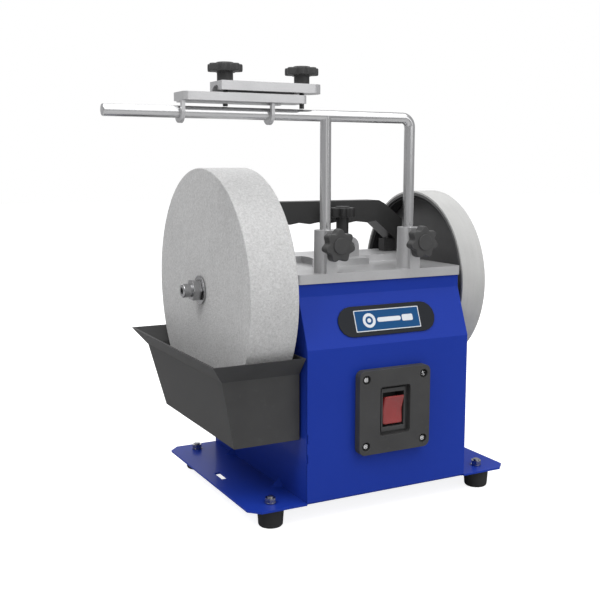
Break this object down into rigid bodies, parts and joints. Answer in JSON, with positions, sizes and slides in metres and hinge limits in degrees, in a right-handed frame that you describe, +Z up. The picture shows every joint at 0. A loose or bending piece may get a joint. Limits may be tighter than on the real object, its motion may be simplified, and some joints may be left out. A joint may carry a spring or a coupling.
{
  "type": "wet-stone bench grinder",
  "caption": "Wet-stone bench grinder: water-cooled grindstone in a trough, leather honing wheel, steel housing with cast top, carry handle, and a bar tool rest with a clamping jig.",
  "frame": {"origin": "on the bench under the middle of the whole machine's box", "axes": "+Z up from the bench; +X along the spindle from the grindstone to the honing wheel; -Y is the front with the switch"},
  "size_m": [0.4354, 0.263, 0.4442],
  "materials": {
    "blue_paint": "gloss",
    "cast_alloy": "satin",
    "cast_grey": "satin",
    "chrome_steel": "polished",
    "steel": "satin",
    "motor_steel": "matte",
    "black_plastic": "satin",
    "dark_plastic": "matte",
    "red_plastic": "gloss",
    "badge_face": "satin",
    "foot_rubber": "matte",
    "drive_rubber": "matte",
    "grinding_stone": "matte",
    "honing_leather": "matte",
    "bronze": "satin"
  },
  "bodies": {
    "housing": {"left_side_panel": "blue_paint", "right_side_panel": "blue_paint", "front_panel": "blue_paint", "back_panel": "blue_paint", "bottom_plate": "blue_paint", "foot_front_left": "foot_rubber", "foot_front_right": "foot_rubber", "foot_rear_left": "foot_rubber", "foot_rear_right": "foot_rubber", "foot_stud_front_left": "steel", "foot_stud_front_right": "steel", "foot_stud_rear_left": "steel", "foot_stud_rear_right": "steel", "top_plate": "cast_alloy", "carry_handle": "black_plastic", "handle_screw_left": "steel", "handle_screw_right": "steel", "trough_pin_front": "steel", "trough_pin_rear": "steel", "switch_plate": "dark_plastic", "switch_screw_top_left": "steel", "switch_screw_top_right": "steel", "switch_screw_bottom_left": "steel", "switch_screw_bottom_right": "steel", "switch_body": "black_plastic", "badge": "badge_face", "spindle_bush_left": "bronze", "spindle_bush_right": "bronze", "cradle_bracket": "motor_steel", "cradle_rod": "steel", "capacitor": "cast_alloy", "cable_gland": "black_plastic"},
    "tool_support": {"universal_support": "chrome_steel"},
    "left_clamp_knob": {"sleeve_knob_left": "black_plastic"},
    "right_clamp_knob": {"sleeve_knob_right": "black_plastic"},
    "level_clamp_knob": {"level_sleeve_knob": "black_plastic"},
    "jig": {"jig_base": "cast_grey"},
    "jig_clamp": {"jig_clamp_bar": "cast_grey"},
    "jig_left_screw": {"jig_knob_left": "black_plastic"},
    "jig_right_screw": {"jig_knob_right": "black_plastic"},
    "wheels": {"grindstone": "grinding_stone", "stone_washer_outer": "steel", "stone_washer_inner": "steel", "stone_nut": "steel", "spindle": "steel", "honing_hub": "dark_plastic", "leather_band": "honing_leather", "drive_lining": "drive_rubber", "honing_nut": "steel"},
    "motor": {"motor_stator": "motor_steel", "motor_bell_left": "cast_alloy", "motor_bell_right": "cast_alloy", "motor_cradle": "motor_steel"},
    "rotor": {"motor_rotor": "steel"},
    "rocker": {"switch_rocker": "red_plastic"},
    "trough": {"water_trough": "dark_plastic"}
  },
  "joints": [
    {"name": "support_height", "type": "slide", "parent": "housing", "child": "tool_support", "axis": [0, 0, 1], "range_m": [-0.04, 0.03]},
    {"name": "left_sleeve_knob_turn", "type": "hinge", "parent": "housing", "child": "left_clamp_knob", "pos_m": [0.00275, -0.10575, 0.2745], "axis": [0, 1, 0], "range_deg": [0, 720]},
    {"name": "right_sleeve_knob_turn", "type": "hinge", "parent": "housing", "child": "right_clamp_knob", "pos_m": [0.10075, -0.10575, 0.2745], "axis": [0, 1, 0], "range_deg": [0, 720]},
    {"name": "level_sleeve_knob_turn", "type": "hinge", "parent": "housing", "child": "level_clamp_knob", "pos_m": [0.06725, -0.01275, 0.276], "axis": [0, 0, 1], "range_deg": [0, 720]},
    {"name": "jig_slide", "type": "slide", "parent": "tool_support", "child": "jig", "axis": [1, 0, 0], "range_m": [-0.06, 0.04]},
    {"name": "jig_clamp_lift", "type": "slide", "parent": "jig", "child": "jig_clamp", "axis": [0, 0, 1], "range_m": [0, 0.0059]},
    {"name": "jig_left_knob_turn", "type": "hinge", "parent": "jig_clamp", "child": "jig_left_screw", "pos_m": [-0.10325, -0.09145, 0.4275], "axis": [0, 0, 1], "range_deg": [0, 1440]},
    {"name": "jig_right_knob_turn", "type": "hinge", "parent": "jig_clamp", "child": "jig_right_screw", "pos_m": [-0.02425, -0.09145, 0.4275], "axis": [0, 0, 1], "range_deg": [0, 1440]},
    {"name": "spindle_spin", "type": "hinge", "parent": "housing", "child": "wheels", "pos_m": [0.06225, -0.00075, 0.224], "axis": [1, 0, 0], "continuous": true},
    {"name": "motor_swing", "type": "hinge", "parent": "housing", "child": "motor", "pos_m": [0.07625, 0.08725, 0.1092], "axis": [1, 0, 0], "range_deg": [-2, 0]},
    {"name": "rotor_spin", "type": "hinge", "parent": "motor", "child": "rotor", "pos_m": [0.06225, -0.00075, 0.1392], "axis": [1, 0, 0], "continuous": true},
    {"name": "rocker_tilt", "type": "hinge", "parent": "housing", "child": "rocker", "pos_m": [0.06225, -0.12425, 0.1078], "axis": [1, 0, 0], "range_deg": [-16, 0]},
    {"name": "trough_drop", "type": "slide", "parent": "housing", "child": "trough", "axis": [0, 0, 1], "range_m": [-0.04, 0]}
  ],
  "couplings": [
    {"joint": "jig_left_knob_turn", "follows": "jig_clamp_lift", "rad_per_m": 4188.8},
    {"joint": "jig_right_knob_turn", "follows": "jig_clamp_lift", "rad_per_m": 4188.8},
    {"joint": "rotor_spin", "follows": "spindle_spin", "ratio": 15.158}
  ]
}
